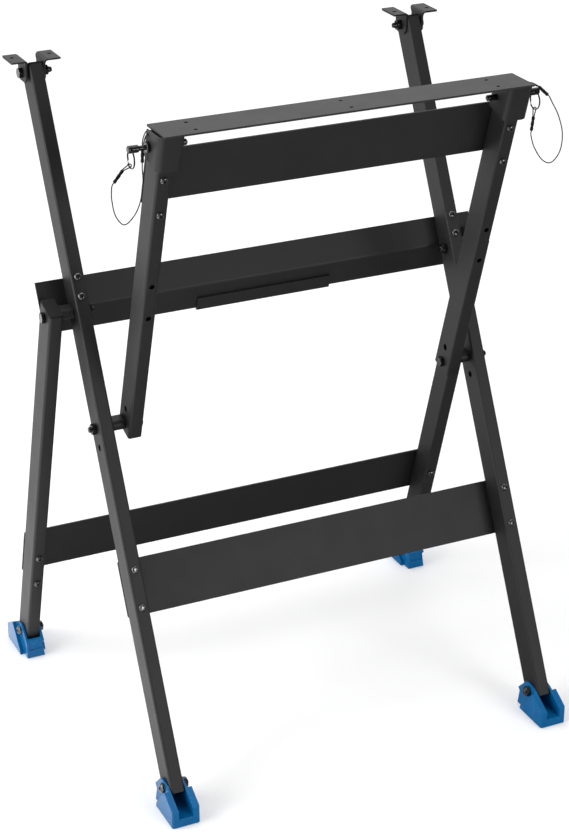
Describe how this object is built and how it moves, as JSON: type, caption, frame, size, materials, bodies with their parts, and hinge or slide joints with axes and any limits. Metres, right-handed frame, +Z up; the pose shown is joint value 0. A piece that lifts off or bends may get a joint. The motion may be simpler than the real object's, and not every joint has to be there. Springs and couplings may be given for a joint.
{
  "type": "folding work stand",
  "caption": "Folding tube-steel work stand: crossed legs on turning plastic feet, fold-down arms and a flat top rail held by lock pins on lanyards.",
  "frame": {"origin": "on the ground, midway between the front and rear feet and between the left and right legs", "axes": "+X to the stand's right as seen from the front, -Y to the front where the top rail is, +Z up"},
  "size_m": [0.6742, 0.5532, 0.907],
  "materials": {
    "powder_black": "black powder coat, low sheen",
    "fastener_black": "black oxide steel, satin",
    "plug_black": "black moulded plastic, matte",
    "ferrule_black": "black crimped sleeve",
    "cable_steel": "thin dark steel cable",
    "foot_blue": "blue moulded plastic, satin"
  },
  "bodies": {
    "main_frame": {"main_leg_left": "powder_black", "main_leg_right": "powder_black", "main_leg_plug_left": "plug_black", "main_leg_plug_right": "plug_black", "lower_crossbar": "powder_black", "upper_crossbar": "powder_black", "rear_pivot_spacer_left": "fastener_black", "rear_pivot_spacer_right": "fastener_black", "rear_pivot_bolt_left": "fastener_black", "rear_pivot_bolt_right": "fastener_black", "rear_pivot_nut_left": "fastener_black", "rear_pivot_nut_right": "fastener_black", "arm_pivot_spacer_left": "fastener_black", "arm_pivot_spacer_right": "fastener_black", "arm_pivot_bolt_left": "fastener_black", "arm_pivot_bolt_right": "fastener_black", "arm_pivot_nut_left": "fastener_black", "arm_pivot_nut_right": "fastener_black"},
    "rear_frame": {"rear_leg_left": "powder_black", "rear_leg_right": "powder_black", "rear_leg_plug_left": "plug_black", "rear_leg_plug_right": "plug_black", "rear_crossbar": "powder_black"},
    "arm_frame": {"arm_left": "powder_black", "arm_right": "powder_black", "arm_crossbar": "powder_black"},
    "rail": {"top_rail": "powder_black", "rail_bracket_left": "powder_black", "rail_bracket_right": "powder_black", "lanyard_anchor_left": "ferrule_black", "lanyard_anchor_right": "ferrule_black", "lanyard_cable_left": "cable_steel", "lanyard_cable_right": "cable_steel"},
    "lock_pin_left": {"lock_pin_left": "fastener_black", "split_ring_left": "fastener_black", "lanyard_ring_end_left": "ferrule_black"},
    "lock_pin_right": {"lock_pin_right": "fastener_black", "split_ring_right": "fastener_black", "lanyard_ring_end_right": "ferrule_black"},
    "bench_bracket_left": {"bench_bracket_outer_left": "powder_black", "bench_bracket_inner_left": "powder_black", "bench_bolt_left": "fastener_black", "bench_nut_left": "fastener_black"},
    "bench_bracket_right": {"bench_bracket_outer_right": "powder_black", "bench_bracket_inner_right": "powder_black", "bench_bolt_right": "fastener_black", "bench_nut_right": "fastener_black"},
    "foot_front_left": {"foot_front_left": "foot_blue", "foot_bolt_front_left": "fastener_black", "foot_nut_front_left": "fastener_black"},
    "foot_front_right": {"foot_front_right": "foot_blue", "foot_bolt_front_right": "fastener_black", "foot_nut_front_right": "fastener_black"},
    "foot_rear_left": {"foot_rear_left": "foot_blue", "foot_bolt_rear_left": "fastener_black", "foot_nut_rear_left": "fastener_black"},
    "foot_rear_right": {"foot_rear_right": "foot_blue", "foot_bolt_rear_right": "fastener_black", "foot_nut_rear_right": "fastener_black"}
  },
  "joints": [
    {"name": "rear_fold", "type": "hinge", "parent": "main_frame", "child": "rear_frame", "pos_m": [0, 0.05537, 0.60071], "axis": [-1, 0, 0], "range_deg": [0, 43.5]},
    {"name": "arm_fold", "type": "hinge", "parent": "main_frame", "child": "arm_frame", "pos_m": [0, -0.01452, 0.46236], "axis": [1, 0, 0], "range_deg": [0, 126]},
    {"name": "rail_tilt", "type": "hinge", "parent": "arm_frame", "child": "rail", "pos_m": [0, -0.14733, 0.8836], "axis": [1, 0, 0], "range_deg": [-8, 8]},
    {"name": "lock_pin_left_pull", "type": "slide", "parent": "rail", "child": "lock_pin_left", "axis": [-1, 0, 0], "range_m": [0, 0.051], "deforming": ["lanyard_cable_left"]},
    {"name": "lock_pin_right_pull", "type": "slide", "parent": "rail", "child": "lock_pin_right", "axis": [1, 0, 0], "range_m": [0, 0.051], "deforming": ["lanyard_cable_right"]},
    {"name": "bench_tilt_left", "type": "hinge", "parent": "main_frame", "child": "bench_bracket_left", "pos_m": [-0.278, 0.19973, 0.8865], "axis": [1, 0, 0], "range_deg": [0, 63]},
    {"name": "bench_tilt_right", "type": "hinge", "parent": "main_frame", "child": "bench_bracket_right", "pos_m": [0.278, 0.19973, 0.8865], "axis": [1, 0, 0], "range_deg": [0, 63]},
    {"name": "foot_front_left_turn", "type": "hinge", "parent": "main_frame", "child": "foot_front_left", "pos_m": [-0.278, -0.23064, 0.0345], "axis": [1, 0, 0], "range_deg": [-60, 8]},
    {"name": "foot_front_right_turn", "type": "hinge", "parent": "main_frame", "child": "foot_front_right", "pos_m": [0.278, -0.23064, 0.0345], "axis": [1, 0, 0], "range_deg": [-60, 8]},
    {"name": "foot_rear_left_turn", "type": "hinge", "parent": "rear_frame", "child": "foot_rear_left", "pos_m": [-0.3176, 0.23064, 0.0345], "axis": [-1, 0, 0], "range_deg": [-60, 8]},
    {"name": "foot_rear_right_turn", "type": "hinge", "parent": "rear_frame", "child": "foot_rear_right", "pos_m": [0.3176, 0.23064, 0.0345], "axis": [-1, 0, 0], "range_deg": [-60, 8]}
  ]
}
